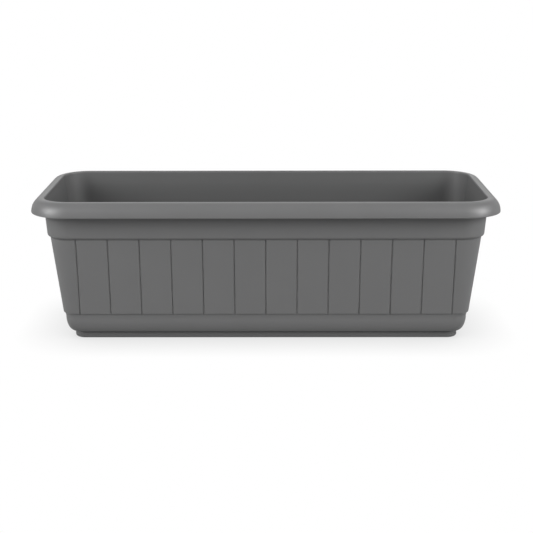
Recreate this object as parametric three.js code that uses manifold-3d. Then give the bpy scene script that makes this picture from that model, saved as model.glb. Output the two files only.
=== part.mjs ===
// Rectangular trough planter: a moulded shell with a rolled lip, drain plugs in its floor,
// and a shallow drip tray pegged to its underside. Millimetres, +Z up, front towards -Y.
// The origin is on the ground, under the middle of the planter.

import * as THREE from "three";
import { mergeVertices } from "three/addons/utils/BufferGeometryUtils.js";
import Module from "manifold-3d";

const wasm = await Module();
wasm.setup();

// Overall sizes, over the lip and from the ground to the lip's crest
const lipLength = 600;
const lipWidth = 248;
const crestHeight = 188.8;

// Moulded walls
const wall = 2.5;
const floorThickness = 2.8;
const fitClearance = 0.3;

// Lip: a quarter-round roll, hollow and open underneath
const lipTopWidth = 17.2;
const lipDrop = 18.1;
const crestRadius = 3.2;
const lipCornerRadius = 51;
const lipOverhang = 17;

// Bands of the side walls, from the lip down; each leans or steps in by the size named here
const collarHeight = 29.8;
const collarDraft = 2.6;
const stepHeight = 2.9;
const stepDepth = 3;
const panelDraft = 12.5;
const baseStep = 1.2;
const baseLedgeRise = 0.02;
const baseBandHeight = 27.7;
const baseStraightHeight = 5.5;
const baseStraightDraft = 1.4;
const baseRoundWidth = 10.2;
const collarCornerRadius = 33;
const baseCornerRadius = 14.4;

// Underside of the shell
const footRingWidth = 6;
const footRecess = 4;
const floorRoundWidth = 8;

// Board grooves in the side panels
const boardPitch = 40.2;
const grooveWidth = 2.2;
const grooveFlat = 0.9;
const grooveDepth = 1.2;
const grooveMargin = 5;

// Gussets in the hollow of the lip, and ribs under the floor
const gussetSpacing = 80.4;
const gussetThickness = 1.6;
const gussetLift = 5;
const ribThickness = 2;

// Drain holes and their plugs
const drainColumns = 3;
const drainRows = 2;
const drainPitchX = 150;
const drainPitchY = 64;
const drainRadius = 5;
const plugHeadRadius = 9;
const plugHeadThickness = 2;
const plugEdgeRound = 0.8;
const plugBoreRadius = 3.2;
const plugStemBelow = 1.4;
const plugTabWidth = 8;
const plugTabHeight = 4.5;
const plugTabThickness = 2.2;

// Drip tray, and the pegs that hold it in sockets under the shell
const trayHeight = 8.4;
const trayWall = 2.2;
const trayFloor = 2;
const trayBottomRound = 2.7;
const trayTopRound = 1;
const trayFloorBevel = 1;
const traySetback = 0.3;
const pegRadius = 4.5;
const pegTipRound = 1;
const pegEndDistance = 45;
const pegSideDistance = 28;
const socketWall = 2.2;
const socketReach = 6.5;

// Smoothness of the faceted curves
const cornerSteps = 8;
const roundSteps = 7;
const turnSteps = 28;

// Heights worked out from the sizes above
const shellBottom = trayHeight + fitClearance;
const floorUnder = shellBottom + footRecess;
const floorTop = floorUnder + floorThickness;
const lipEdge = crestHeight - lipDrop;
const collarBottom = lipEdge - collarHeight;
const panelTop = collarBottom - stepHeight;
const panelBottom = shellBottom + baseBandHeight;
const baseRoundTop = panelBottom - baseStraightHeight;

// Insets of the outside, measured in from the lip's outer edge
const collarBottomInset = lipOverhang + collarDraft;
const panelTopInset = collarBottomInset + stepDepth;
const panelBottomInset = panelTopInset + panelDraft;
const baseTopInset = panelBottomInset + baseStep;
const baseRoundInset = baseTopInset + baseStraightDraft;
const footInset = baseRoundInset + baseRoundWidth;
const trayInset = footInset + traySetback;

// The four sides: quarter turns from the front, the reach out to the lip, and half the side's length
const sides = [
  { turn: 0, reach: lipWidth / 2, half: lipLength / 2 },
  { turn: 1, reach: lipLength / 2, half: lipWidth / 2 },
  { turn: 2, reach: lipWidth / 2, half: lipLength / 2 },
  { turn: 3, reach: lipLength / 2, half: lipWidth / 2 },
];

// Corner radius of the outside at a height: the body's corners tighten towards the ground
function bodyCorner(z) {
  const share = (z - shellBottom) / (lipEdge - shellBottom);
  return baseCornerRadius + (collarCornerRadius - baseCornerRadius) * share;
}

// A point of the outside wall, and the same point moved in through the wall
function outside(inset, z) {
  return { inset, z, corner: bodyCorner(z) };
}

function inside(inset, z) {
  return { inset: inset + wall, z, corner: bodyCorner(z) - wall };
}

// A quarter ellipse in the wall's section, about a centre, from one angle to another
function quarter(centre, width, height, from, to, corner) {
  const points = [];
  for (let i = 0; i <= roundSteps; i += 1) {
    const angle = from + (to - from) * (i / roundSteps);
    const inset = centre.inset - width * Math.cos(angle);
    const z = centre.z + height * Math.sin(angle);
    points.push({ inset, z, corner: corner(inset, z) });
  }
  return points;
}

function lipCorner(inset) {
  return lipCornerRadius - inset;
}

// Outer face of the lip, or the same curve moved in by a depth, from its lower edge to its crest
function lipCurve(depth) {
  const centre = { inset: lipTopWidth - crestRadius, z: lipEdge };
  return quarter(centre, centre.inset - depth, lipDrop - depth, 0, Math.PI / 2, lipCorner);
}

// Section of the shell, from the middle of the underside round the outside and back to the floor
function shellProfile() {
  const crest = { inset: lipTopWidth - crestRadius, z: crestHeight - crestRadius };
  const crestInside = quarter(crest, crestRadius, crestRadius, Math.PI / 2, Math.PI, lipCorner);
  const baseRound = { inset: footInset, z: baseRoundTop };
  const baseRoundHeight = baseRoundTop - shellBottom;
  const under = quarter(baseRound, baseRoundWidth, baseRoundHeight, -Math.PI / 2, 0, (_, z) => bodyCorner(z));
  const floorEdge = { inset: baseRoundInset + wall + floorRoundWidth, z: baseRoundTop };
  const floorRoundHeight = baseRoundTop - floorTop;
  const floorRound = quarter(floorEdge, floorRoundWidth, floorRoundHeight, 0, -Math.PI / 2,
    (_, z) => bodyCorner(z) - wall);
  const ringInset = footInset + footRingWidth;
  const ringCorner = baseCornerRadius - footRingWidth;
  const stepRise = wall * (Math.SQRT2 - 1);
  return [
    { inset: ringInset + footRecess / 2, z: floorUnder, corner: ringCorner - footRecess / 2 },
    { inset: ringInset, z: shellBottom, corner: ringCorner },
    ...under,
    outside(baseTopInset, panelBottom),
    outside(panelBottomInset, panelBottom + baseLedgeRise),
    outside(panelTopInset, panelTop),
    outside(collarBottomInset, collarBottom),
    outside(lipOverhang, lipEdge),
    { inset: lipTopWidth - wall, z: crestHeight - crestRadius - wall, corner: lipCorner(lipTopWidth - wall) },
    ...lipCurve(wall).reverse(),
    ...lipCurve(0),
    ...crestInside.slice(1),
    inside(lipOverhang, lipEdge),
    inside(collarBottomInset, collarBottom + stepRise),
    inside(panelTopInset, panelTop + stepRise),
    inside(panelBottomInset, panelBottom + stepRise),
    ...floorRound,
  ];
}

// One rounded rectangle of the loft, counter-clockwise from above
function ring({ inset, z, corner }) {
  const halfX = lipLength / 2 - inset - corner;
  const halfY = lipWidth / 2 - inset - corner;
  const signs = [[1, 1], [-1, 1], [-1, -1], [1, -1]];
  return signs.flatMap(([sx, sy], quarterTurn) => {
    const arc = [];
    for (let i = 0; i <= cornerSteps; i += 1) {
      const angle = (quarterTurn + i / cornerSteps) * (Math.PI / 2);
      arc.push([sx * halfX + corner * Math.cos(angle), sy * halfY + corner * Math.sin(angle), z]);
    }
    return arc;
  });
}

// A closed solid through the rings of a section; its two ends are closed by fans on the centre line
function loft(profile) {
  const rings = profile.map(ring);
  const count = rings[0].length;
  const first = rings.length * count;
  const last = first + 1;
  const points = [...rings.flat(), [0, 0, profile[0].z], [0, 0, profile.at(-1).z]];
  const triangles = [];
  for (let i = 0; i < count; i += 1) {
    const next = (i + 1) % count;
    triangles.push(first, next, i);
    for (let k = 0; k < rings.length - 1; k += 1) {
      const low = k * count;
      const high = low + count;
      triangles.push(low + i, low + next, high + next);
      triangles.push(low + i, high + next, high + i);
    }
    const top = (rings.length - 1) * count;
    triangles.push(last, top + i, top + next);
  }
  return solidFrom(Float32Array.from(points.flat()), Uint32Array.from(triangles));
}

function solidFrom(vertProperties, triVerts) {
  return new wasm.Manifold(new wasm.Mesh({ numProp: 3, vertProperties, triVerts }));
}

// A closed three.js geometry as a solid that can be joined and cut
function solid(geometry) {
  geometry.deleteAttribute("normal");
  geometry.deleteAttribute("uv");
  const merged = mergeVertices(geometry);
  return solidFrom(Float32Array.from(merged.attributes.position.array), Uint32Array.from(merged.index.array));
}

function geometryOf(body) {
  const { vertProperties, triVerts } = body.getMesh();
  const geometry = new THREE.BufferGeometry();
  geometry.setAttribute("position", new THREE.BufferAttribute(vertProperties, 3));
  geometry.setIndex(new THREE.BufferAttribute(triVerts, 1));
  geometry.computeVertexNormals();
  return geometry;
}

// Places along a side, spaced evenly about its middle, as many as the run holds
function spread(run, spacing) {
  const count = Math.floor(run / spacing) + 1;
  return Array.from({ length: count }, (_, i) => (i - (count - 1) / 2) * spacing);
}

function outline(points) {
  return new THREE.Shape(points.map(([x, y]) => new THREE.Vector2(x, y)));
}

// Cutter for one board groove of the front, laid along the sloping panel and out past its lower edge
function grooveCutter(x, reach) {
  const runOut = baseStep / 2;
  const slope = Math.atan2(panelDraft, panelTop - panelBottom);
  const length = Math.hypot(panelDraft, panelTop - panelBottom);
  const section = outline([
    [-grooveWidth / 2, -grooveDepth],
    [grooveWidth / 2, -grooveDepth],
    [grooveWidth / 2, 0],
    [grooveFlat / 2, grooveDepth],
    [-grooveFlat / 2, grooveDepth],
    [-grooveWidth / 2, 0],
  ]);
  const geometry = new THREE.ExtrudeGeometry(section, { depth: length + runOut, bevelEnabled: false });
  geometry.translate(0, 0, -runOut);
  geometry.rotateX(slope);
  geometry.translate(x, panelBottomInset - reach, panelBottom);
  return geometry;
}

function grooves(side) {
  const run = 2 * (side.half - panelBottomInset - bodyCorner(panelBottom) - grooveMargin);
  return spread(run, boardPitch).map((x) => grooveCutter(x, side.reach));
}

// One gusset of the front: a web between the lip's inner face and the wall, rooted in both
function gusset(x, reach) {
  const root = wall / 2;
  const bottom = lipEdge + gussetLift;
  const lipSide = lipCurve(root).filter((point) => point.z > bottom);
  const section = outline([
    [root, bottom],
    ...lipSide.map((point) => [point.inset, point.z]),
    [lipTopWidth - root, crestHeight - crestRadius - root],
    [lipOverhang + root, bottom],
  ]);
  const geometry = new THREE.ExtrudeGeometry(section, { depth: gussetThickness, bevelEnabled: false });
  geometry.translate(-reach, 0, -gussetThickness / 2);
  geometry.rotateX(Math.PI / 2);
  geometry.rotateZ(Math.PI / 2);
  geometry.translate(x, 0, 0);
  return geometry;
}

function gussets(side) {
  const run = 2 * (side.half - lipCornerRadius);
  return spread(run, gussetSpacing).map((x) => gusset(x, side.reach));
}

// Everything that a maker of one side's pieces gives, turned to each of the four sides
function onEverySide(maker) {
  return sides.flatMap((side) => maker(side).map((geometry) => {
    geometry.rotateZ(side.turn * (Math.PI / 2));
    return solid(geometry);
  }));
}

function cylinder(radius, bottom, top, x, y) {
  const geometry = new THREE.CylinderGeometry(radius, radius, top - bottom, turnSteps);
  geometry.rotateX(Math.PI / 2);
  geometry.translate(x, y, (bottom + top) / 2);
  return solid(geometry);
}

function box(sizeX, sizeY, bottom, top, x, y) {
  const geometry = new THREE.BoxGeometry(sizeX, sizeY, top - bottom);
  geometry.translate(x, y, (bottom + top) / 2);
  return solid(geometry);
}

function centred(count, pitch) {
  return Array.from({ length: count }, (_, i) => (i - (count - 1) / 2) * pitch);
}

const drainPlaces = centred(drainRows, drainPitchY)
  .flatMap((y) => centred(drainColumns, drainPitchX).map((x) => [x, y]));

const pegX = lipLength / 2 - trayInset - pegEndDistance;
const pegY = lipWidth / 2 - trayInset - pegSideDistance;
const pegPlaces = [[-pegX, -pegY], [pegX, -pegY], [-pegX, pegY], [pegX, pegY]];

// Ribs under the floor: one along the middle, and one across between each two columns of drains
function floorRibs() {
  const halfX = lipLength / 2 - footInset - footRingWidth / 2;
  const halfY = lipWidth / 2 - footInset - footRingWidth / 2;
  const bottom = shellBottom + fitClearance;
  const top = floorUnder + floorThickness / 2;
  const across = centred(drainColumns + 1, drainPitchX)
    .filter((x) => Math.abs(x) < pegX - pegRadius - socketWall - ribThickness)
    .map((x) => box(ribThickness, 2 * halfY, bottom, top, x, 0));
  return [box(2 * halfX, ribThickness, bottom, top, 0, 0), ...across];
}

function sockets() {
  const radius = pegRadius + fitClearance;
  const bottom = floorUnder - socketReach;
  const root = floorUnder + floorThickness / 2;
  return {
    walls: pegPlaces.map(([x, y]) => cylinder(radius + socketWall, bottom, root, x, y)),
    bores: pegPlaces.map(([x, y]) => cylinder(radius, bottom - socketWall, floorUnder, x, y)),
  };
}

function planterShell() {
  const socket = sockets();
  const joined = [...onEverySide(gussets), ...floorRibs(), ...socket.walls];
  const drainTop = floorTop + floorThickness;
  const drains = drainPlaces.map(([x, y]) => cylinder(drainRadius, shellBottom, drainTop, x, y));
  const cut = [...onEverySide(grooves), ...socket.bores, ...drains];
  const whole = joined.reduce((body, piece) => body.add(piece), loft(shellProfile()));
  return cut.reduce((body, piece) => body.subtract(piece), whole);
}

// Section of the tray, from the middle of its underside round the wall to its floor
function trayProfile() {
  const cornerAt = (inset) => baseCornerRadius - (inset - trayInset);
  const heel = { inset: trayInset + trayBottomRound, z: trayBottomRound };
  const rim = { inset: trayInset + trayTopRound, z: trayHeight - trayTopRound };
  const inner = trayInset + trayWall;
  const floorInset = inner + trayFloorBevel;
  return [
    ...quarter(heel, trayBottomRound, trayBottomRound, -Math.PI / 2, 0, cornerAt),
    ...quarter(rim, trayTopRound, trayTopRound, 0, Math.PI / 2, cornerAt),
    { inset: inner, z: trayHeight, corner: cornerAt(inner) },
    { inset: inner, z: trayFloor + trayFloorBevel, corner: cornerAt(inner) },
    { inset: floorInset, z: trayFloor, corner: cornerAt(floorInset) },
  ];
}

function lathe(points) {
  const geometry = new THREE.LatheGeometry(points.map(([r, z]) => new THREE.Vector2(r, z)), turnSteps);
  geometry.rotateX(Math.PI / 2);
  return geometry;
}

function trayPeg([x, y]) {
  const bottom = trayFloor / 2;
  const top = floorUnder - fitClearance;
  const tip = pegRadius - pegTipRound;
  const peg = lathe([[0, bottom], [pegRadius, bottom], [pegRadius, top - pegTipRound], [tip, top], [0, top]]);
  peg.translate(x, y, 0);
  return solid(peg);
}

function dripTray() {
  return pegPlaces.map(trayPeg).reduce((body, peg) => body.add(peg), loft(trayProfile()));
}

// Drain plug about its own axis, with z = 0 on the floor: head, hollow stem, and a tab to pull it by
function drainPlug() {
  const stemRadius = drainRadius - fitClearance;
  const stemBottom = -floorThickness - plugStemBelow;
  const headBottom = fitClearance;
  const headTop = headBottom + plugHeadThickness;
  const boreTop = -plugEdgeRound;
  const body = solid(lathe([
    [0, boreTop],
    [plugBoreRadius, boreTop],
    [plugBoreRadius, stemBottom],
    [stemRadius - plugEdgeRound, stemBottom],
    [stemRadius, stemBottom + plugEdgeRound],
    [stemRadius, headBottom],
    [plugHeadRadius, headBottom],
    [plugHeadRadius, headTop - plugEdgeRound],
    [plugHeadRadius - plugEdgeRound, headTop],
    [0, headTop],
  ]));
  const rounding = plugTabWidth / 2;
  const tab = new THREE.Shape();
  tab.moveTo(-plugTabWidth / 2, -plugHeadThickness / 2);
  tab.lineTo(plugTabWidth / 2, -plugHeadThickness / 2);
  tab.lineTo(plugTabWidth / 2, plugTabHeight - rounding);
  tab.absarc(0, plugTabHeight - rounding, rounding, 0, Math.PI, false);
  tab.closePath();
  const geometry = new THREE.ExtrudeGeometry(tab, {
    depth: plugTabThickness,
    bevelEnabled: false,
    curveSegments: roundSteps,
  });
  geometry.translate(0, 0, -plugTabThickness / 2);
  geometry.rotateX(Math.PI / 2);
  geometry.translate(0, 0, headTop);
  return body.add(solid(geometry));
}

const shellPlastic = new THREE.MeshStandardMaterial({ color: 0x5f5f60, roughness: 0.55, metalness: 0 });
const trayPlastic = new THREE.MeshStandardMaterial({ color: 0x575758, roughness: 0.55, metalness: 0 });
const plugPlastic = new THREE.MeshStandardMaterial({ color: 0x4a4b4b, roughness: 0.5, metalness: 0 });

function named(name, geometry, material) {
  const mesh = new THREE.Mesh(geometry, material);
  mesh.name = name;
  return mesh;
}

const planter = new THREE.Group();
planter.add(named("drip_tray", geometryOf(dripTray()), trayPlastic));
planter.add(named("planter_shell", geometryOf(planterShell()), shellPlastic));

const plugGeometry = geometryOf(drainPlug());
drainPlaces.forEach(([x, y], i) => {
  const plug = named(`drain_plug_${i + 1}`, plugGeometry, plugPlastic);
  plug.position.set(x, y, floorTop);
  planter.add(plug);
});

export default planter;
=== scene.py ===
import math
from typing import NamedTuple

import bmesh
import bpy
from mathutils import Matrix, Vector


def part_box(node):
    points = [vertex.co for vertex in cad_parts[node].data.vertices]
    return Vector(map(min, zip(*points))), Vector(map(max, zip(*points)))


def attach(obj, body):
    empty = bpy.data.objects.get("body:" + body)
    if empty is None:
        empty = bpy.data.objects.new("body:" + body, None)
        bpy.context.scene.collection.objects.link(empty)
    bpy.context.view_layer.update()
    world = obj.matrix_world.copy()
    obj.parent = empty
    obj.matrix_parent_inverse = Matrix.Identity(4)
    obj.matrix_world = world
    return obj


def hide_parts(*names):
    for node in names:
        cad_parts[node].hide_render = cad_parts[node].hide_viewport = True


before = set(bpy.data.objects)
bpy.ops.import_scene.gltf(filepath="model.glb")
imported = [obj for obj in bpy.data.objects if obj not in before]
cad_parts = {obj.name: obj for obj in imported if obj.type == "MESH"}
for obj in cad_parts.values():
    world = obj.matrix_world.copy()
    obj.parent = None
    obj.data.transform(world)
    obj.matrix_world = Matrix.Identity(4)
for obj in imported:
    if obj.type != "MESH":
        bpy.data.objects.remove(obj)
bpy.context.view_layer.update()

# A rectangular trough planter in moulded grey plastic, on a pale studio floor.
# Metres, +Z up, front towards -Y. Insets are measured in from the lip's outer edge.

# Overall sizes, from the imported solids
shell_low, shell_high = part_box("planter_shell")
LENGTH = shell_high.x - shell_low.x
WIDTH = shell_high.y - shell_low.y
CREST = shell_high.z

# Moulded walls
WALL = 0.0025
FLOOR_THICKNESS = 0.0028
CLEARANCE = 0.0003

# Lip: a quarter-round face, a narrow flat crest and a small round at the crest's inner edge
LIP_TOP_WIDTH = 0.0172
LIP_DROP = 0.0181
CREST_FLAT = 0.0018
CREST_ROUND = 0.0014
LIP_CORNER = 0.051
LIP_OVERHANG = 0.017

# Bands of the side walls, from the lip down
COLLAR_HEIGHT = 0.0298
COLLAR_DRAFT = 0.0026
COLLAR_CORNER = 0.033
STEP_HEIGHT = 0.0029
STEP_DEPTH = 0.003
PANEL_DRAFT = 0.0125
BASE_STEP = 0.0012
BASE_BAND_HEIGHT = 0.0277
BASE_STRAIGHT_HEIGHT = 0.0055
BASE_STRAIGHT_DRAFT = 0.0014
BASE_ROUND_WIDTH = 0.0102
BASE_CORNER = 0.0144

# Underside and floor of the shell
FOOT_RING_WIDTH = 0.006
FOOT_RECESS = 0.004
FLOOR_ROUND_WIDTH = 0.008

# Board grooves
BOARD_PITCH = 0.0402
GROOVE_DEPTH = 0.0012
LONG_GROOVES = 13
SHORT_GROOVES = 4
# Half of a groove's section: distance from its middle, and share of its full depth
GROOVE_SECTION = (
    (0.0, 1.0),
    (0.0004, 0.95),
    (0.00075, 0.62),
    (0.00105, 0.2),
    (0.00135, 0.03),
    (0.0018, 0.0),
)

# Gussets in the lip and ribs under the floor
GUSSET_SPACING = 0.0804
GUSSET_THICKNESS = 0.0016
GUSSET_LIFT = 0.005
LONG_GUSSETS = 7
SHORT_GUSSETS = 2
RIB_THICKNESS = 0.002

# Drains, plugs, tray and pegs
DRAIN_COLUMNS = 3
DRAIN_ROWS = 2
DRAIN_PITCH_X = 0.15
DRAIN_PITCH_Y = 0.064
DRAIN_RADIUS = 0.005
PLUG_HEAD_RADIUS = 0.009
PLUG_HEAD_THICKNESS = 0.002
PLUG_EDGE_ROUND = 0.0008
PLUG_BORE_RADIUS = 0.0032
PLUG_STEM_BELOW = 0.0014
PLUG_TAB_WIDTH = 0.008
PLUG_TAB_HEIGHT = 0.0045
PLUG_TAB_THICKNESS = 0.0022
PLUG_TAB_EASE = PLUG_TAB_THICKNESS / 4
# The tab through its thickness: distance from its middle as a share of the thickness, and share of
# the ease that its outline is drawn in by
PLUG_TAB_SECTION = ((-0.5, 1.0), (-0.4, 0.3), (-0.25, 0.0), (0.25, 0.0), (0.4, 0.3), (0.5, 1.0))
TRAY_HEIGHT = 0.0084
TRAY_WALL = 0.0022
TRAY_FLOOR = 0.002
TRAY_BOTTOM_ROUND = 0.0027
TRAY_TOP_ROUND = 0.001
TRAY_SETBACK = 0.0003
PEG_RADIUS = 0.0045
PEG_TIP_ROUND = 0.001
PEG_END_DISTANCE = 0.045
PEG_SIDE_DISTANCE = 0.028
SOCKET_WALL = 0.0022
SOCKET_REACH = 0.0065

# Heights and insets worked out from the sizes above
SHELL_BOTTOM = TRAY_HEIGHT + CLEARANCE
FLOOR_UNDER = SHELL_BOTTOM + FOOT_RECESS
FLOOR_TOP = FLOOR_UNDER + FLOOR_THICKNESS
LIP_EDGE = CREST - LIP_DROP
CREST_WIDTH = CREST_FLAT + CREST_ROUND
COLLAR_BOTTOM = LIP_EDGE - COLLAR_HEIGHT
PANEL_TOP = COLLAR_BOTTOM - STEP_HEIGHT
PANEL_BOTTOM = SHELL_BOTTOM + BASE_BAND_HEIGHT
BASE_ROUND_TOP = PANEL_BOTTOM - BASE_STRAIGHT_HEIGHT
COLLAR_INSET = LIP_OVERHANG + COLLAR_DRAFT
PANEL_TOP_INSET = COLLAR_INSET + STEP_DEPTH
PANEL_INSET = PANEL_TOP_INSET + PANEL_DRAFT
BASE_TOP_INSET = PANEL_INSET + BASE_STEP
BASE_ROUND_INSET = BASE_TOP_INSET + BASE_STRAIGHT_DRAFT
FOOT_INSET = BASE_ROUND_INSET + BASE_ROUND_WIDTH
TRAY_INSET = FOOT_INSET + TRAY_SETBACK
PEG_X = LENGTH / 2 - TRAY_INSET - PEG_END_DISTANCE
PEG_Y = WIDTH / 2 - TRAY_INSET - PEG_SIDE_DISTANCE

# Small rounds that the mould leaves on every edge
SHARP_ROUND = 0.0003
EDGE_ROUND = 0.0005
BAND_ROUND = 0.0006
COLLAR_ROUND = 0.0015
LIP_EDGE_ROUND = 0.0006
INSIDE_ROUND = 0.002

# A small round takes up less than half of the straight beside it
ROUND_SHARE = 0.45

# Smoothness of curves: their steps, how far beyond a round its supporting row or column lies,
# the distance within which points become one, and the angle from which an edge stays sharp
CORNER_STEPS = 16
FILLET_STEPS = 5
CURVE_STEPS = 12
TURN_STEPS = 48
SUPPORT = 0.0005
MERGE_DISTANCE = 0.000002
CREASE = math.radians(32)

QUARTER_TURN = math.pi / 2


# Node trees

class Flow:
    """A socket of a node tree that can stand in arithmetic."""

    def __init__(self, graph, node, output):
        self.graph = graph
        self.from_node = node
        self.output = output

    @property
    def socket(self):
        return self.from_node.outputs[self.output]

    def out(self, output):
        return Flow(self.graph, self.from_node, output)

    def _math(self, operation, *values):
        return self.graph.node("ShaderNodeMath", {"operation": operation}, dict(enumerate(values)))

    def __add__(self, other):
        return self._math("ADD", self, other)

    __radd__ = __add__

    def __sub__(self, other):
        return self._math("SUBTRACT", self, other)

    def __rsub__(self, other):
        return self._math("SUBTRACT", other, self)

    def __mul__(self, other):
        return self._math("MULTIPLY", self, other)

    __rmul__ = __mul__

    def __truediv__(self, other):
        return self._math("DIVIDE", self, other)

    def floor(self):
        return self._math("FLOOR", self)

    def at_most(self, other):
        return self._math("MINIMUM", self, other)

    def at_least(self, other):
        return self._math("MAXIMUM", self, other)

    def xyz(self):
        split = self.graph.node("ShaderNodeSeparateXYZ", {}, {0: self})
        return split, split.out(1), split.out(2)


class Graph:
    """A node tree that is being filled in."""

    def __init__(self, tree):
        self.tree = tree

    def node(self, kind, settings=None, inputs=None, output=0):
        made = self.tree.nodes.new(kind)
        for name, value in (settings or {}).items():
            setattr(made, name, value)
        for key, value in (inputs or {}).items():
            for part in value if isinstance(value, list) else [value]:
                if isinstance(part, Flow):
                    self.tree.links.new(part.socket, made.inputs[key])
                else:
                    made.inputs[key].default_value = part
        return Flow(self, made, output)

    def xyz(self, x, y, z):
        return self.node("ShaderNodeCombineXYZ", {}, {0: x, 1: y, 2: z})

    def dot(self, first, second):
        return self.node("ShaderNodeVectorMath", {"operation": "DOT_PRODUCT"},
                         {0: first, 1: second}, "Value")


SOCKET_KINDS = {float: "NodeSocketFloat", int: "NodeSocketInt"}


class Pattern:
    """A geometry node tree with named inputs, which makes a plain mesh from a base mesh."""

    def __init__(self, name, defaults, fill):
        tree = bpy.data.node_groups.new(name, "GeometryNodeTree")
        self.tree = tree
        self.sockets = {}
        tree.interface.new_socket("Geometry", in_out="INPUT", socket_type="NodeSocketGeometry")
        for key, value in defaults.items():
            socket = tree.interface.new_socket(key, in_out="INPUT", socket_type=SOCKET_KINDS[type(value)])
            socket.default_value = value
            self.sockets[key] = socket.identifier
        tree.interface.new_socket("Geometry", in_out="OUTPUT", socket_type="NodeSocketGeometry")
        graph = Graph(tree)
        start = graph.node("NodeGroupInput")
        shape = fill(graph, start, {key: start.out(key) for key in defaults})
        whole = graph.node("GeometryNodeRealizeInstances", {}, {0: shape})
        self.finish = graph.node("GeometryNodeSetMaterial", {}, {0: whole})
        end = tree.nodes.new("NodeGroupOutput")
        tree.links.new(self.finish.socket, end.inputs[0])

    def make(self, name, base, material, **values):
        carrier = put(name, base)
        base.materials.append(material)
        self.finish.from_node.inputs["Material"].default_value = material
        step = carrier.modifiers.new("pattern", "NODES")
        step.node_group = self.tree
        for key, value in values.items():
            step[self.sockets[key]] = value
        return plain(carrier)


def put(name, mesh):
    piece = bpy.data.objects.new(name, mesh)
    bpy.context.scene.collection.objects.link(piece)
    return piece


def plain(carrier):
    """The carrier with its modifiers turned into a plain mesh."""
    graph = bpy.context.evaluated_depsgraph_get()
    graph.update()
    mesh = bpy.data.meshes.new_from_object(carrier.evaluated_get(graph), depsgraph=graph)
    carrier.modifiers.clear()
    carrier.data = mesh
    mesh.name = carrier.name
    return carrier


# The wall's section

class Bend(NamedTuple):
    """A corner of a section: its place, its corner radius in plan, its own small round, and its grooves."""

    inset: float
    z: float
    corner: float
    fillet: float = 0.0
    groove: float = 0.0


def body_corner(z):
    """Corner radius of the shell's outside, which tightens towards the ground."""
    share = (z - SHELL_BOTTOM) / (LIP_EDGE - SHELL_BOTTOM)
    return BASE_CORNER + (COLLAR_CORNER - BASE_CORNER) * share


def lip_corner(inset):
    return LIP_CORNER - inset


def outside(inset, z, fillet, groove=0.0):
    return Bend(inset, z, body_corner(z), fillet, groove)


def inside(inset, z, fillet):
    return Bend(inset + WALL, z, body_corner(z) - WALL, fillet)


def quarter(centre_inset, centre_z, width, height, start, end, corner):
    """Bends along a quarter ellipse of a section; corner gives the plan radius from inset and height."""
    bends = []
    for i in range(CURVE_STEPS + 1):
        angle = start + (end - start) * i / CURVE_STEPS
        inset = centre_inset - width * math.cos(angle)
        z = centre_z + height * math.sin(angle)
        bends.append(Bend(inset, z, corner(inset, z)))
    return bends


def between(a, b, distance):
    """The point of a section that lies some way from one bend towards another."""
    reach = math.hypot(b.inset - a.inset, b.z - a.z)
    share = distance / reach
    return Bend(a.inset + (b.inset - a.inset) * share, a.z + (b.z - a.z) * share,
                a.corner + (b.corner - a.corner) * share, 0.0, a.groove * b.groove)


def rounded(bends):
    """Rows of a section, with each bend drawn as a small curve between two supporting rows."""
    rows = [bends[0]]
    for before, bend, after in zip(bends, bends[1:], bends[2:]):
        if not bend.fillet:
            rows.append(bend)
            continue
        room = [math.dist(bend[:2], other[:2]) for other in (before, after)]
        reach = [min(bend.fillet, ROUND_SHARE * length) for length in room]
        start, end = (between(bend, other, size) for other, size in zip((before, after), reach))
        if room[0] > 2 * (reach[0] + SUPPORT):
            rows.append(between(bend, before, reach[0] + SUPPORT))
        for i in range(FILLET_STEPS + 1):
            t = i / FILLET_STEPS
            weights = ((1 - t) ** 2, 2 * t * (1 - t), t ** 2)
            mix = [sum(w * point[k] for w, point in zip(weights, (start, bend, end))) for k in range(3)]
            rows.append(Bend(*mix, 0.0, bend.groove))
        if room[1] > 2 * (reach[1] + SUPPORT):
            rows.append(between(bend, after, reach[1] + SUPPORT))
    rows.append(bends[-1])
    return rows


def lip_curve(depth):
    """The lip's quarter-round face, or the same curve moved in by a depth, from its edge to its crest."""
    centre = LIP_TOP_WIDTH - CREST_WIDTH
    return quarter(centre, LIP_EDGE, centre - depth, LIP_DROP - depth, 0, QUARTER_TURN,
                   lambda inset, z: lip_corner(inset))


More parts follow.
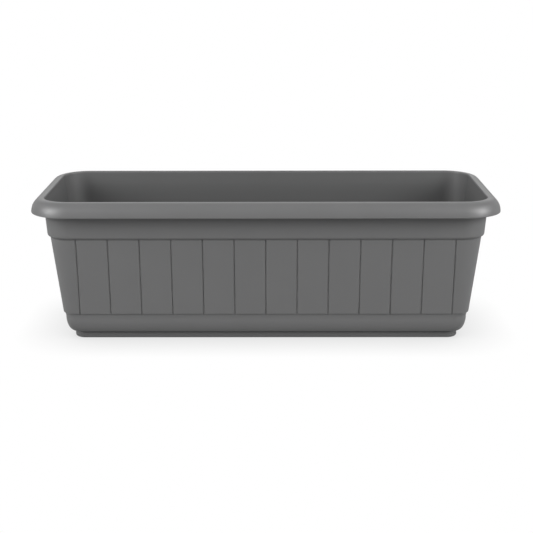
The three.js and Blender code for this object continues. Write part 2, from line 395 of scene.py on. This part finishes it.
def shell_section():
    """Section of the shell from its underside's middle, round the outside, to its floor's middle."""
    ring_inset = FOOT_INSET + FOOT_RING_WIDTH
    ring_corner = BASE_CORNER - FOOT_RING_WIDTH
    step_rise = WALL * (math.sqrt(2) - 1)
    base_round_height = BASE_ROUND_TOP - SHELL_BOTTOM
    hollow_inset = LIP_TOP_WIDTH - WALL
    under = quarter(FOOT_INSET, BASE_ROUND_TOP, BASE_ROUND_WIDTH, base_round_height, -QUARTER_TURN, 0,
                    lambda inset, z: body_corner(z))
    crest = quarter(LIP_TOP_WIDTH - CREST_ROUND, CREST - CREST_ROUND, CREST_ROUND, CREST_ROUND,
                    QUARTER_TURN, math.pi, lambda inset, z: lip_corner(inset))
    floor_round = quarter(BASE_ROUND_INSET + WALL + FLOOR_ROUND_WIDTH, BASE_ROUND_TOP, FLOOR_ROUND_WIDTH,
                          BASE_ROUND_TOP - FLOOR_TOP, 0, -QUARTER_TURN,
                          lambda inset, z: body_corner(z) - WALL)
    return rounded([
        Bend(WIDTH / 2, FLOOR_UNDER, 0.0),
        Bend(ring_inset + FOOT_RECESS / 2, FLOOR_UNDER, ring_corner - FOOT_RECESS / 2, EDGE_ROUND),
        Bend(ring_inset, SHELL_BOTTOM, ring_corner, EDGE_ROUND),
        *under,
        outside(BASE_TOP_INSET, PANEL_BOTTOM, EDGE_ROUND),
        outside(PANEL_INSET, PANEL_BOTTOM, BAND_ROUND, groove=1.0),
        outside(PANEL_TOP_INSET, PANEL_TOP, BAND_ROUND, groove=1.0),
        outside(COLLAR_INSET, COLLAR_BOTTOM, COLLAR_ROUND),
        outside(LIP_OVERHANG, LIP_EDGE, SHARP_ROUND),
        Bend(hollow_inset, CREST - CREST_WIDTH - WALL, lip_corner(hollow_inset), EDGE_ROUND),
        *reversed(lip_curve(WALL)[1:]),
        Bend(WALL, LIP_EDGE, lip_corner(WALL), LIP_EDGE_ROUND),
        Bend(0.0, LIP_EDGE, lip_corner(0.0), LIP_EDGE_ROUND),
        *lip_curve(0.0)[1:],
        *crest,
        inside(LIP_OVERHANG, LIP_EDGE, INSIDE_ROUND),
        inside(COLLAR_INSET, COLLAR_BOTTOM + step_rise, INSIDE_ROUND),
        inside(PANEL_TOP_INSET, PANEL_TOP + step_rise, INSIDE_ROUND),
        inside(PANEL_INSET, PANEL_BOTTOM + step_rise, INSIDE_ROUND),
        *floor_round,
        Bend(WIDTH / 2, FLOOR_TOP, 0.0),
    ])


def tray_section():
    """Section of the tray from its underside's middle, round the wall, to its floor's middle."""
    inner_inset = TRAY_INSET + TRAY_WALL
    inner_corner = BASE_CORNER - TRAY_WALL
    heel = quarter(TRAY_INSET + TRAY_BOTTOM_ROUND, TRAY_BOTTOM_ROUND, TRAY_BOTTOM_ROUND, TRAY_BOTTOM_ROUND,
                   -QUARTER_TURN, 0, lambda inset, z: BASE_CORNER - (inset - TRAY_INSET))
    return rounded([
        Bend(WIDTH / 2, 0.0, 0.0),
        *heel,
        Bend(TRAY_INSET, TRAY_HEIGHT, BASE_CORNER, TRAY_TOP_ROUND),
        Bend(inner_inset, TRAY_HEIGHT, inner_corner, SHARP_ROUND),
        Bend(inner_inset, TRAY_FLOOR, inner_corner, EDGE_ROUND),
        Bend(WIDTH / 2, TRAY_FLOOR, 0.0),
    ])


# The wall's plan

class Column(NamedTuple):
    """A place round the plan: which corner it belongs to, the way it faces, and where it lies on a side."""

    sign: tuple
    facing: tuple
    run: tuple


def groove_places(count):
    return [(i - (count - 1) / 2) * BOARD_PITCH for i in range(count)]


def side_columns(turn, count):
    """Columns of one side, across each of its board grooves, in the order of the plan."""
    facing = (round(math.cos(turn * QUARTER_TURN)), round(math.sin(turn * QUARTER_TURN)))
    ahead = (-facing[1], facing[0])
    half = [(-distance, share) for distance, share in reversed(GROOVE_SECTION[1:])]
    section = half + list(GROOVE_SECTION)
    columns = []
    for place in groove_places(count):
        for distance, share in section:
            along = place + distance
            columns.append(Column(facing, facing, (ahead[0] * along, ahead[1] * along, share)))
    return columns


def corner_columns(turn):
    """Columns of the corner that follows a side, with a supporting one past each end of its arc."""
    sign = (1 if turn in (0, 3) else -1, 1 if turn in (0, 1) else -1)
    first, last = turn * QUARTER_TURN, (turn + 1) * QUARTER_TURN
    arc = []
    for i in range(CORNER_STEPS + 1):
        angle = first + (last - first) * i / CORNER_STEPS
        arc.append(Column(sign, (math.cos(angle), math.sin(angle)), (0.0, 0.0, 0.0)))
    before = (math.sin(first) * SUPPORT, -math.cos(first) * SUPPORT, 0.0)
    after = (-math.sin(last) * SUPPORT, math.cos(last) * SUPPORT, 0.0)
    return [Column(sign, arc[0].facing, before), *arc, Column(sign, arc[-1].facing, after)]


def plan_columns(long_count, short_count):
    """Columns counter-clockwise from the right-hand end's middle, closed by the first one again."""
    columns = []
    for turn, count in enumerate((short_count, long_count, short_count, long_count)):
        columns += side_columns(turn, count) + corner_columns(turn)
    return columns + columns[:1]


def wall_base(name, rows, columns):
    """A mesh of loose points that carries a wall's section and plan to its node tree."""
    mesh = bpy.data.meshes.new(name)
    mesh.vertices.add(len(rows) + len(columns))
    nothing = (0.0, 0.0, 0.0)
    values = {
        "section": [(row.inset, row.z, row.corner) for row in rows] + [nothing] * len(columns),
        "grooved": [(row.groove, 0.0, 0.0) for row in rows] + [nothing] * len(columns),
        "sign": [nothing] * len(rows) + [(*column.sign, 0.0) for column in columns],
        "facing": [nothing] * len(rows) + [(*column.facing, 0.0) for column in columns],
        "run": [nothing] * len(rows) + [column.run for column in columns],
    }
    for key, vectors in values.items():
        attribute = mesh.attributes.new(key, "FLOAT_VECTOR", "POINT")
        attribute.data.foreach_set("vector", [number for vector in vectors for number in vector])
    return mesh


def fill_wall(graph, base, given):
    """Every row of the section carried round every column of the plan, and sewn into one closed skin."""
    def sampled(name, index):
        value = graph.node("GeometryNodeInputNamedAttribute", {"data_type": "FLOAT_VECTOR"}, {"Name": name})
        return graph.node("GeometryNodeSampleIndex", {"data_type": "FLOAT_VECTOR", "domain": "POINT"},
                          {"Geometry": base, "Value": value, "Index": index})

    counts = {"Vertices X": given["rows"], "Vertices Y": given["columns"]}
    grid = graph.node("GeometryNodeMeshGrid", {}, counts)
    index = graph.node("GeometryNodeInputIndex")
    row = (index / given["columns"]).floor()
    column = index - row * given["columns"] + given["rows"]
    inset, height, corner = sampled("section", row).xyz()
    grooved, _, _ = sampled("grooved", row).xyz()
    sign_x, sign_y, _ = sampled("sign", column).xyz()
    facing_x, facing_y, _ = sampled("facing", column).xyz()
    along_x, along_y, share = sampled("run", column).xyz()
    half_x = (given["length"] / 2 - inset - corner).at_least(0)
    half_y = (given["width"] / 2 - inset - corner).at_least(0)
    out = corner - given["groove_depth"] * share * grooved
    on_side_x = along_x * (half_x / given["reach_x"]).at_most(1)
    on_side_y = along_y * (half_y / given["reach_y"]).at_most(1)
    place = graph.xyz(sign_x * half_x + on_side_x + facing_x * out,
                      sign_y * half_y + on_side_y + facing_y * out, height)
    placed = graph.node("GeometryNodeSetPosition", {}, {"Geometry": grid, "Position": place})
    sewn = graph.node("GeometryNodeMergeByDistance", {}, {"Geometry": placed, "Distance": given["seam"]})
    return graph.node("GeometryNodeFlipFaces", {}, {0: sewn})


def line_of(graph, shape, count, pitch, axis):
    """Copies of a shape in a line through the middle of the object, along X or Y."""
    start = pitch * (count - 1) / -2
    steps = [graph.xyz(*(value if k == axis else 0.0 for k in range(3))) for value in (start, pitch)]
    line = graph.node("GeometryNodeMeshLine", {"mode": "OFFSET"},
                      {"Count": count, "Start Location": steps[0], "Offset": steps[1]})
    return graph.node("GeometryNodeInstanceOnPoints", {}, {"Points": line, "Instance": shape})


def fill_grid(graph, base, given):
    """Copies of a shape in columns and rows."""
    row = line_of(graph, base, given["columns"], given["pitch_x"], 0)
    return line_of(graph, row, given["rows"], given["pitch_y"], 1)


def fill_rim(graph, base, given):
    """Copies of a shape made for the front, spaced along each of the four sides."""
    turned = []
    for turn in range(4):
        is_end = turn % 2
        line = line_of(graph, base, given["end_count" if is_end else "long_count"], given["pitch"], 0)
        shift = given["end_shift"] * -1 if is_end else 0.0
        moved = graph.node("GeometryNodeTransform", {},
                           {"Geometry": line, "Translation": graph.xyz(0.0, shift, 0.0)})
        turned.append(graph.node("GeometryNodeTransform", {},
                                 {"Geometry": moved, "Rotation": (0.0, 0.0, turn * QUARTER_TURN)}))
    return graph.node("GeometryNodeJoinGeometry", {}, {0: turned})


moulded_wall = Pattern("moulded_wall", {
    "rows": 2, "columns": 2, "length": 0.6, "width": 0.25, "groove_depth": 0.0,
    "reach_x": 0.001, "reach_y": 0.001, "seam": MERGE_DISTANCE,
}, fill_wall)
set_in_rows = Pattern("set_in_rows", {"columns": 1, "rows": 1, "pitch_x": 0.1, "pitch_y": 0.1}, fill_grid)
set_round_rim = Pattern("set_round_rim", {
    "long_count": 1, "end_count": 1, "pitch": 0.1, "end_shift": 0.1,
}, fill_rim)


def wall_piece(name, rows, long_grooves, short_grooves, material):
    """A moulded wall carried round the whole plan: the shell's, or the tray's."""
    columns = plan_columns(long_grooves, short_grooves)
    reach = [max(abs(column.run[axis]) for column in columns) + 2 * SUPPORT for axis in (0, 1)]
    return moulded_wall.make(name, wall_base(name, rows, columns), material, rows=len(rows),
                             columns=len(columns), length=LENGTH, width=WIDTH, groove_depth=GROOVE_DEPTH,
                             reach_x=reach[0], reach_y=reach[1], seam=MERGE_DISTANCE)


# Small solids

def solid_of(name, rings, closed=False):
    """A closed mesh through rings of points; its two ends are faces, or it closes on itself."""
    model = bmesh.new()
    made = [[model.verts.new(point) for point in ring] for ring in rings]
    pairs = list(zip(made, made[1:])) + ([(made[-1], made[0])] if closed else [])
    for lower, upper in pairs:
        for i, corner in enumerate(lower):
            k = (i + 1) % len(lower)
            model.faces.new((corner, lower[k], upper[k], upper[i]))
    if not closed:
        model.faces.new(reversed(made[0]))
        model.faces.new(made[-1])
    bmesh.ops.remove_doubles(model, verts=model.verts, dist=MERGE_DISTANCE)
    bmesh.ops.recalc_face_normals(model, faces=model.faces)
    mesh = bpy.data.meshes.new(name)
    model.to_mesh(mesh)
    model.free()
    return mesh


def turned(name, profile, x=0.0, y=0.0):
    """A solid of revolution from (radius, height) points, closed on its axis at both ends."""
    rings = []
    for radius, z in profile:
        angles = [2 * math.pi * i / TURN_STEPS for i in range(TURN_STEPS)]
        rings.append([(x + radius * math.cos(a), y + radius * math.sin(a), z) for a in angles])
    return solid_of(name, rings)


def slab(name, size_x, size_y, bottom, top):
    corners = [(size_x / 2, size_y / 2), (-size_x / 2, size_y / 2),
               (-size_x / 2, -size_y / 2), (size_x / 2, -size_y / 2)]
    return solid_of(name, [[(x, y, z) for x, y in corners] for z in (bottom, top)])


def eased(radius, z, round_radius, outward, upward):
    """Profile points of a small quarter round at a turned piece's edge, at radius and z."""
    centre_radius, centre_z = radius - outward * round_radius, z - upward * round_radius
    points = []
    for i in range(FILLET_STEPS + 1):
        angle = QUARTER_TURN * i / FILLET_STEPS
        points.append((centre_radius + outward * round_radius * math.cos(angle),
                       centre_z + upward * round_radius * math.sin(angle)))
    return points


def with_cut(piece, tool, operation):
    """The piece joined with a closed tool mesh, or cut by it."""
    step = piece.modifiers.new("cut", "BOOLEAN")
    step.operation = operation
    step.solver = "MANIFOLD"
    step.object = tool
    plain(piece)
    bpy.data.objects.remove(tool)
    return piece


def finished(piece, material):
    """The piece with one material all over, smooth apart from its sharp edges."""
    mesh = piece.data
    mesh.materials.clear()
    mesh.materials.append(material)
    mesh.polygons.foreach_set("material_index", [0] * len(mesh.polygons))
    mesh.polygons.foreach_set("use_smooth", [True] * len(mesh.polygons))
    mesh.set_sharp_from_angle(angle=CREASE)
    for attribute in ("section", "grooved", "sign", "facing", "run"):
        if attribute in mesh.attributes:
            mesh.attributes.remove(mesh.attributes[attribute])
    return piece


# Materials

def mixed(graph, low, high, share):
    colours = {"Factor": share, "A": low, "B": high}
    return graph.node("ShaderNodeMix", {"data_type": "RGBA"}, colours, output=2)


def noise(graph, place, size, detail=2.0, roughness=0.5):
    """Noise from 0 to 1 whose features are about the given size in metres."""
    return graph.node("ShaderNodeTexNoise", {"noise_dimensions": "3D"},
                      {"Vector": place, "Scale": 1 / size, "Detail": detail, "Roughness": roughness})


def grey(value, coolness=0.0):
    return (value * (1 - coolness), value, value * (1 + coolness), 1.0)


def faded(graph, value, start, end, level):
    """A level that comes in softly as a value goes from start to end."""
    return graph.node("ShaderNodeMapRange", {"interpolation_type": "SMOOTHSTEP"},
                      {"Value": value, "From Min": start, "From Max": end, "To Min": 0.0, "To Max": level})


# Finish of the plastic: how far its tone wanders, the sizes of its clouds, flecks, grain and ripples,
# how deep the ripples are, and how much of the tone and the roughness the clouds and flecks make
TONE_SPREAD = 0.045
COOLNESS = 0.004
CLOUD_SIZE = 0.045
FLECK_SIZE = 0.0016
GRAIN_SIZE = 0.0005
RIPPLE_SIZE = 0.013
RIPPLE_DEPTH = 0.00004
CLOUD_SHARE = 0.7
CLOUD_SHEEN = 0.08
FLECK_SHEEN = 0.1

# The faces that look towards the planter's middle, which the mould's core forms, are duller and carry
# painted shade, both more so with depth; a face counts by how far it turns inwards, and the floor by how
# far it turns up
INSIDE_SHADE_TONE = 0.55
CORE_DULLNESS = 0.25
SHADE_AND_DULLNESS_AT_CREST = 0.72
SHADE_AND_DULLNESS_DEPTH = 0.038
INWARD_TURN_START = -0.1
INWARD_TURN_END = -0.5
FLOOR_TURN_START = 0.2
FLOOR_TURN_END = 0.6


def inside_shade_and_dullness(graph, place):
    """From 0 to 1: how much painted shade and dullness a face gets, told by where it looks and how deep it
    lies.
    """
    x, y, z = place.xyz()
    facing = graph.node("ShaderNodeNewGeometry").out("Normal")
    from_middle = graph.xyz(x / (LENGTH / 2), y / (WIDTH / 2), 0.0)
    walls = faded(graph, graph.dot(facing, from_middle), INWARD_TURN_START, INWARD_TURN_END, 1.0)
    _, _, upward = facing.xyz()
    floor = faded(graph, upward, FLOOR_TURN_START, FLOOR_TURN_END, 1.0)
    low = faded(graph, z, PANEL_BOTTOM, BASE_ROUND_TOP, 1.0)
    # Painted shade and dullness: they start at the crest's round and grow further down inside.
    rim = faded(graph, z, CREST - CREST_ROUND, CREST - 2 * CREST_ROUND, SHADE_AND_DULLNESS_AT_CREST)
    deep = faded(graph, z, CREST - CREST_ROUND, CREST - SHADE_AND_DULLNESS_DEPTH, 1 - SHADE_AND_DULLNESS_AT_CREST)
    return (walls * (rim + deep)).at_least(floor * low)


def moulded_plastic(name, tone, roughness, grain_depth):
    """Matt moulded plastic: a fine spark-eroded grain, faint clouding of the tone, a soft sheen, and
    painted shade with dullness on the faces inside.
    """
    material = bpy.data.materials.new(name)
    material.use_nodes = True
    material.node_tree.nodes.clear()
    graph = Graph(material.node_tree)
    place = graph.node("ShaderNodeTexCoord").out("Object")
    clouds = noise(graph, place, CLOUD_SIZE, detail=3.0)
    flecks = noise(graph, place, FLECK_SIZE, detail=2.0, roughness=0.6)
    tint = clouds * CLOUD_SHARE + flecks * (1 - CLOUD_SHARE)
    # Mask of painted shade and dullness on the faces inside the planter.
    core = inside_shade_and_dullness(graph, place)
    low, high = tone * (1 - TONE_SPREAD), tone * (1 + TONE_SPREAD)
    outer = mixed(graph, grey(low, COOLNESS), grey(high, COOLNESS), tint)
    # Painted shade: a darker copy of the tone for the faces inside.
    inside_shaded = mixed(graph, grey(low * INSIDE_SHADE_TONE, COOLNESS), grey(high * INSIDE_SHADE_TONE, COOLNESS), tint)
    colour = mixed(graph, outer, inside_shaded, core)
    sheen = (clouds - 0.5) * CLOUD_SHEEN + (flecks - 0.5) * FLECK_SHEEN + roughness + core * CORE_DULLNESS
    grain = noise(graph, place, GRAIN_SIZE, detail=2.0, roughness=0.55)
    ripple = noise(graph, place, RIPPLE_SIZE, detail=1.0)
    relief = grain * grain_depth + ripple * RIPPLE_DEPTH
    bump = graph.node("ShaderNodeBump", {}, {"Strength": 1.0, "Distance": 1.0, "Height": relief})
    shader = graph.node("ShaderNodeBsdfPrincipled", {}, {
        "Base Color": colour, "Roughness": sheen, "Normal": bump,
        "Metallic": 0.0, "IOR": 1.5, "Specular IOR Level": 0.5,
    })
    graph.node("ShaderNodeOutputMaterial", {}, {"Surface": shader})
    return material


shell_plastic = moulded_plastic("grey_shell_plastic", tone=0.125, roughness=0.4, grain_depth=0.000012)
# The tray's darker tone is painted shade, for the shadow under the shell's overhang.
tray_plastic = moulded_plastic("grey_tray_plastic", tone=0.088, roughness=0.46, grain_depth=0.000012)
plug_plastic = moulded_plastic("dark_plug_plastic", tone=0.07, roughness=0.42, grain_depth=0.000008)


# Pieces of the planter

def peg_profile(radius, bottom, top, tip):
    return [(0.0, bottom), (radius, bottom), *eased(radius, top, tip, 1, 1), (0.0, top)]


def in_peg_places(name, base, material):
    return set_in_rows.make(name, base, material, columns=2, rows=2, pitch_x=2 * PEG_X, pitch_y=2 * PEG_Y)


def gusset_base():
    """One web of the lip's hollow, for the front side, rooted in the lip and in the wall."""
    root = WALL / 2
    bottom = LIP_EDGE + GUSSET_LIFT
    lip_side = [bend for bend in lip_curve(root) if bend.z > bottom]
    outline = [
        (root, bottom),
        *((bend.inset, bend.z) for bend in lip_side),
        (LIP_TOP_WIDTH - root, CREST - CREST_WIDTH - root),
        (LIP_OVERHANG + root, bottom),
    ]
    faces = [[(x, inset - WIDTH / 2, z) for inset, z in outline]
             for x in (-GUSSET_THICKNESS / 2, GUSSET_THICKNESS / 2)]
    return solid_of("gusset", faces)


def planter_shell():
    """The moulded trough with its lip, bands, board grooves, gussets, floor ribs, sockets and drains."""
    shell = wall_piece("moulded_shell", shell_section(), LONG_GROOVES, SHORT_GROOVES, shell_plastic)
    gussets = set_round_rim.make("gussets", gusset_base(), shell_plastic, pitch=GUSSET_SPACING,
                                 long_count=LONG_GUSSETS, end_count=SHORT_GUSSETS,
                                 end_shift=(LENGTH - WIDTH) / 2)
    with_cut(shell, gussets, "UNION")

    root = FLOOR_UNDER + FLOOR_THICKNESS / 2
    rib_bottom = SHELL_BOTTOM + CLEARANCE
    half_x, half_y = (size / 2 - FOOT_INSET - FOOT_RING_WIDTH / 2 for size in (LENGTH, WIDTH))
    long_rib = put("long_rib", slab("long_rib", 2 * half_x, RIB_THICKNESS, rib_bottom, root))
    with_cut(shell, long_rib, "UNION")
    cross_rib = slab("cross_rib", RIB_THICKNESS, 2 * half_y, rib_bottom, root)
    cross_ribs = set_in_rows.make("cross_ribs", cross_rib, shell_plastic, columns=DRAIN_COLUMNS - 1, rows=1,
                                  pitch_x=DRAIN_PITCH_X, pitch_y=DRAIN_PITCH_Y)
    with_cut(shell, cross_ribs, "UNION")

    bore = PEG_RADIUS + CLEARANCE
    socket_bottom = FLOOR_UNDER - SOCKET_REACH
    socket_radius = bore + SOCKET_WALL
    socket_edge = reversed(eased(socket_radius, socket_bottom, SHARP_ROUND, 1, -1))
    socket = turned("socket", [(0.0, socket_bottom), *socket_edge, (socket_radius, root), (0.0, root)])
    with_cut(shell, in_peg_places("sockets", socket, shell_plastic), "UNION")
    bore_tool = turned("bore", [(0.0, 0.0), (bore, 0.0), (bore, FLOOR_UNDER), (0.0, FLOOR_UNDER)])
    with_cut(shell, in_peg_places("bores", bore_tool, shell_plastic), "DIFFERENCE")
    drain_top = FLOOR_TOP + FOOT_RECESS
    drain_rim = [(DRAIN_RADIUS, SHELL_BOTTOM), (DRAIN_RADIUS, drain_top)]
    drain = turned("drain", [(0.0, SHELL_BOTTOM), *drain_rim, (0.0, drain_top)])
    drains = set_in_rows.make("drains", drain, shell_plastic, columns=DRAIN_COLUMNS, rows=DRAIN_ROWS,
                              pitch_x=DRAIN_PITCH_X, pitch_y=DRAIN_PITCH_Y)
    with_cut(shell, drains, "DIFFERENCE")
    return finished(shell, shell_plastic)


def drip_tray():
    """The shallow tray with the four pegs that the shell's sockets slide over."""
    tray = wall_piece("moulded_tray", tray_section(), 0, 0, tray_plastic)
    peg = turned("peg", peg_profile(PEG_RADIUS, TRAY_FLOOR / 2, FLOOR_UNDER - CLEARANCE, PEG_TIP_ROUND))
    with_cut(tray, in_peg_places("pegs", peg, tray_plastic), "UNION")
    return finished(tray, tray_plastic)


def plug_tab(x, y):
    """The thin upright tab that a drain plug is pulled by, with a round top and eased edges."""
    head_top = FLOOR_TOP + CLEARANCE + PLUG_HEAD_THICKNESS
    radius = PLUG_TAB_WIDTH / 2
    top = PLUG_TAB_HEIGHT - radius
    rings = []
    for depth, share in PLUG_TAB_SECTION:
        size = radius - PLUG_TAB_EASE * share
        outline = [(-size, -PLUG_HEAD_THICKNESS / 2), (size, -PLUG_HEAD_THICKNESS / 2)]
        for i in range(CURVE_STEPS + 1):
            angle = math.pi * i / CURVE_STEPS
            outline.append((size * math.cos(angle), top + size * math.sin(angle)))
        plane = y + depth * PLUG_TAB_THICKNESS
        rings.append([(x + across, plane, head_top + z) for across, z in outline])
    return solid_of("plug_tab", rings)


def drain_plug(number, x, y):
    """A push-in plug: a flat eased head, a hollow stem and its tab."""
    stem = DRAIN_RADIUS - CLEARANCE
    stem_bottom = FLOOR_UNDER - PLUG_STEM_BELOW
    head_bottom = FLOOR_TOP + CLEARANCE
    head_top = head_bottom + PLUG_HEAD_THICKNESS
    bore_top = FLOOR_TOP - PLUG_EDGE_ROUND
    profile = [
        (0.0, bore_top),
        (PLUG_BORE_RADIUS, bore_top),
        (PLUG_BORE_RADIUS, stem_bottom),
        *reversed(eased(stem, stem_bottom, PLUG_EDGE_ROUND, 1, -1)),
        (stem, head_bottom),
        (PLUG_HEAD_RADIUS, head_bottom),
        *eased(PLUG_HEAD_RADIUS, head_top, PLUG_EDGE_ROUND, 1, 1),
        (0.0, head_top),
    ]
    plug = put(f"moulded_plug_{number}", turned(f"moulded_plug_{number}", profile, x, y))
    with_cut(plug, put("plug_tab", plug_tab(x, y)), "UNION")
    return finished(plug, plug_plastic)


# Studio

FLOOR_SIZE = 60.0

# Camera, as found from the photograph's edges: where it stands, and how it is turned
CAMERA_PLACE = Vector((0.00793, -1.61675, 0.50227))
CAMERA_PITCH = 0.2573
CAMERA_YAW = -0.0046
CAMERA_ROLL = -0.0020
LENS = 83.12
SENSOR = 36.0


class FarSoftbox(NamedTuple):
    """A softbox far off: its direction from the front, rise and half width in degrees, and its strength."""

    compass: float
    rise: float
    spread: float
    strength: float


# Softboxes on both sides: far off, full over a share of their half width, and near the planter's ends
FAR_SOFTBOXES = (FarSoftbox(60, 7, 15, 4.1), FarSoftbox(62, 25, 16, 9.6))
FAR_SOFTBOX_CORE = 0.57
END_SOFTBOX_PLACE = Vector((0.84, -0.5, 0.57))
END_SOFTBOX_AIM = Vector((0.1, 0.0, 0.1))
END_SOFTBOX_WIDTH = 0.95
END_SOFTBOX_HEIGHT = 0.7
END_SOFTBOX_WATTS = 5.7

# Dim light from the room: a band and a fill behind the planter, the ceiling, and what the floor
# throws back. A pair says where a light starts to show and where it is full. Heights run from 0 at
# the horizon to 1 overhead, depths from 0 at the sides to 1 straight behind, and the band's sides
# are the square of how far a direction lies sideways.
BACK_LIGHT = 1.0
BACK_LIGHT_BOTTOM = (0.12, 0.3)
BACK_LIGHT_TOP = (0.6, 0.45)
BACK_LIGHT_DEPTH = (0.0, 0.7)
BACK_LIGHT_SIDES = (0.3, 0.06)
BACK_FILL = 0.5
BACK_FILL_DEPTH = (0.0, 0.5)
CEILING_LIGHT = 0.25
CEILING_HEIGHT = (0.77, 0.91)
FLOOR_LIGHT = 0.38
HORIZON = (-0.02, 0.0)

# What the camera sees of the backdrop and the floor, and the floor's soft shade round the planter
BACKDROP = 1.0
CONTACT_SHADE = 0.34
CONTACT_REACH = 0.075
CONTACT_SAMPLES = 16


def studio_floor():
    """A white floor with a soft contact shade, which leaves the planter's own light to the studio."""
    half = FLOOR_SIZE / 2
    corners = [(-half, -half, 0), (half, -half, 0), (half, half, 0), (-half, half, 0)]
    mesh = bpy.data.meshes.new("studio_floor")
    mesh.from_pydata(corners, [], [(0, 1, 2, 3)])
    floor = put("studio_floor", mesh)
    material = bpy.data.materials.new("white_floor")
    material.use_nodes = True
    material.node_tree.nodes.clear()
    graph = Graph(material.node_tree)
    openness = graph.node("ShaderNodeAmbientOcclusion", {"samples": CONTACT_SAMPLES},
                          {"Distance": CONTACT_REACH}, "AO")
    level = (openness * CONTACT_SHADE + (1 - CONTACT_SHADE)) * BACKDROP
    shader = graph.node("ShaderNodeEmission", {}, {"Strength": level})
    graph.node("ShaderNodeOutputMaterial", {}, {"Surface": shader})
    mesh.materials.append(material)
    floor.visible_diffuse = False
    floor.visible_glossy = False
    floor.visible_shadow = False


def studio_light():
    """Far softboxes at both sides in a dim room; the camera sees a white backdrop."""
    world = bpy.data.worlds.new("studio")
    bpy.context.scene.world = world
    world.use_nodes = True
    world.node_tree.nodes.clear()
    graph = Graph(world.node_tree)
    direction = graph.node("ShaderNodeTexCoord").out("Generated")
    across, back, height = direction.xyz()
    above = faded(graph, height, *HORIZON, 1.0)
    bottom = faded(graph, height, *BACK_LIGHT_BOTTOM, 1.0)
    top = faded(graph, height, *BACK_LIGHT_TOP, BACK_LIGHT)
    behind = faded(graph, back, *BACK_LIGHT_DEPTH, 1.0)
    band = bottom * top * behind * faded(graph, across * across, *BACK_LIGHT_SIDES, 1.0)
    fill = faded(graph, back, *BACK_FILL_DEPTH, BACK_FILL) * above
    ceiling = faded(graph, height, *CEILING_HEIGHT, CEILING_LIGHT)
    level = band + fill + (1 - above) * FLOOR_LIGHT + ceiling
    for softbox in FAR_SOFTBOXES:
        edge, core = (math.cos(math.radians(softbox.spread * share)) for share in (1, FAR_SOFTBOX_CORE))
        for side in (-1, 1):
            around, up = math.radians(softbox.compass * side), math.radians(softbox.rise)
            aim = (math.sin(around) * math.cos(up), -math.cos(around) * math.cos(up), math.sin(up))
            level = level + faded(graph, graph.dot(direction, aim), edge, core, softbox.strength)
    seen = graph.node("ShaderNodeLightPath")
    level = seen * BACKDROP + (1 - seen) * level
    light = graph.node("ShaderNodeBackground", {}, {"Color": grey(1.0), "Strength": level})
    graph.node("ShaderNodeOutputWorld", {}, {"Surface": light})


def end_softboxes():
    """A standing softbox near each end of the planter."""
    for side in (-1, 1):
        data = bpy.data.lights.new("end_softbox", "AREA")
        data.shape = "RECTANGLE"
        data.size, data.size_y = END_SOFTBOX_WIDTH, END_SOFTBOX_HEIGHT
        data.energy = END_SOFTBOX_WATTS
        light = put("end_softbox", data)
        flip = Vector((side, 1.0, 1.0))
        stand, aim = END_SOFTBOX_PLACE * flip, END_SOFTBOX_AIM * flip
        turn = (aim - stand).to_track_quat("-Z", "Y").to_matrix().to_4x4()
        light.matrix_world = Matrix.Translation(stand) @ turn
        light.visible_camera = False


def studio_camera():
    data = bpy.data.cameras.new("studio_camera")
    camera = put("studio_camera", data)
    data.sensor_fit = "HORIZONTAL"
    data.sensor_width = SENSOR
    data.lens = LENS
    data.clip_end = 2 * FLOOR_SIZE
    sin, cos = math.sin, math.cos
    level_forward = Vector((sin(CAMERA_YAW), cos(CAMERA_YAW), 0.0))
    forward = level_forward * cos(CAMERA_PITCH) - Vector((0.0, 0.0, sin(CAMERA_PITCH)))
    level_right = Vector((cos(CAMERA_YAW), -sin(CAMERA_YAW), 0.0))
    level_up = level_right.cross(forward)
    right = cos(CAMERA_ROLL) * level_right + sin(CAMERA_ROLL) * level_up
    up = cos(CAMERA_ROLL) * level_up - sin(CAMERA_ROLL) * level_right
    turn = Matrix((right, up, -forward)).transposed().to_4x4()
    camera.matrix_world = Matrix.Translation(CAMERA_PLACE) @ turn
    bpy.context.scene.camera = camera


# The whole planter

shell = planter_shell()
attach(shell, "planter")
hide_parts("planter_shell")

tray = drip_tray()
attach(tray, "tray")
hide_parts("drip_tray")

for number in range(1, DRAIN_COLUMNS * DRAIN_ROWS + 1):
    row, column = divmod(number - 1, DRAIN_COLUMNS)
    plug = drain_plug(number, (column - (DRAIN_COLUMNS - 1) / 2) * DRAIN_PITCH_X,
                      (row - (DRAIN_ROWS - 1) / 2) * DRAIN_PITCH_Y)
    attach(plug, f"plug_{number}")
    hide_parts(f"drain_plug_{number}")

studio_floor()
studio_light()
end_softboxes()
studio_camera()
bpy.context.scene.view_settings.view_transform = "Standard"
